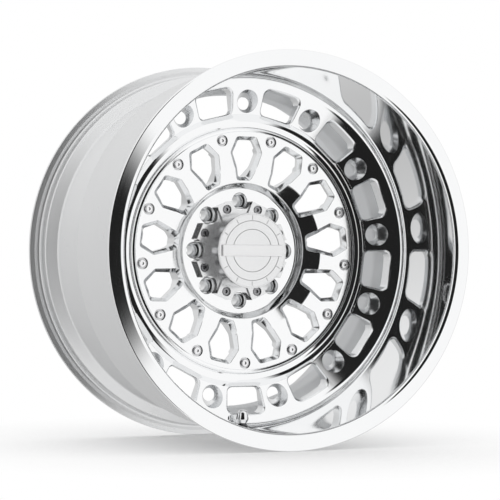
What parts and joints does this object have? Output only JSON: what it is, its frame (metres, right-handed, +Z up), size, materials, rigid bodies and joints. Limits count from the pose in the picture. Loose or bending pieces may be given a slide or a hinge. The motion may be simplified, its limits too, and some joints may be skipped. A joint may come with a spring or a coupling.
{
  "type": "wheel rim",
  "caption": "Forged aluminium wheel rim: deep polished lip, ring of windows, bolted spoked centre disc, bolt-on hub cap and a tyre valve with a screw-off cap.",
  "frame": {"origin": "wheel centre: on the axle, midway between the two flanges", "axes": "+Y along the axle towards the vehicle (the outboard face looks to -Y), +Z up, valve at the bottom (-Z)"},
  "size_m": [0.649, 0.3767, 0.649],
  "materials": {
    "polished_barrel": "polished lip and ring, satin outside",
    "polished_disc": "polished",
    "bolt_steel": "zinc-plated",
    "washer_steel": "satin",
    "nut_steel": "zinc-plated",
    "cap_metal": "satin machined",
    "black_screw": "dark oxide",
    "lid_metal": "brushed",
    "bar_metal": "light satin",
    "seal_rubber": "matt",
    "valve_metal": "nickel-plated",
    "valve_nut_metal": "dark nickel",
    "core_brass": "bare",
    "core_rubber": "matt",
    "cap_chrome": "polished"
  },
  "bodies": {
    "wheel": {"rim_barrel": "polished_barrel", "centre_disc": "polished_disc", "disc_bolts": "bolt_steel", "disc_bolt_washers": "washer_steel", "disc_bolt_nuts": "nut_steel", "cap_base": "cap_metal", "cap_screws": "black_screw", "cap_lid": "lid_metal", "cap_lid_o_ring": "seal_rubber", "cap_bar": "bar_metal", "cap_bar_screws": "black_screw", "valve_stem": "valve_metal", "valve_grommet": "seal_rubber", "valve_gasket": "seal_rubber", "valve_washer": "valve_nut_metal", "valve_nut": "valve_nut_metal", "valve_core_barrel": "core_brass", "valve_core_gasket": "core_rubber", "valve_core_spring": "valve_metal"},
    "valve_pin": {"valve_core_pin": "core_brass", "valve_core_seal": "core_rubber"},
    "cap_seal": {"valve_cap_seal": "seal_rubber"},
    "valve_cap": {"valve_cap": "cap_chrome"}
  },
  "joints": [
    {"name": "valve_pin_press", "type": "slide", "parent": "wheel", "child": "valve_pin", "axis": [0, 0, -1], "range_m": [0, 0.0012], "stiffness_N_per_m": 1000, "springref_m": -0.002, "deforming": ["valve_core_spring"]},
    {"name": "valve_cap_rise", "type": "slide", "parent": "wheel", "child": "cap_seal", "axis": [0, 0, 1], "range_m": [0, 0.00476]},
    {"name": "valve_cap_turn", "type": "hinge", "parent": "cap_seal", "child": "valve_cap", "pos_m": [-0.0157, -0.021, -0.27], "axis": [0, 0, 1], "range_deg": [0, 2160]}
  ],
  "couplings": [
    {"joint": "valve_cap_turn", "follows": "valve_cap_rise", "rad_per_m": 7915.8}
  ]
}
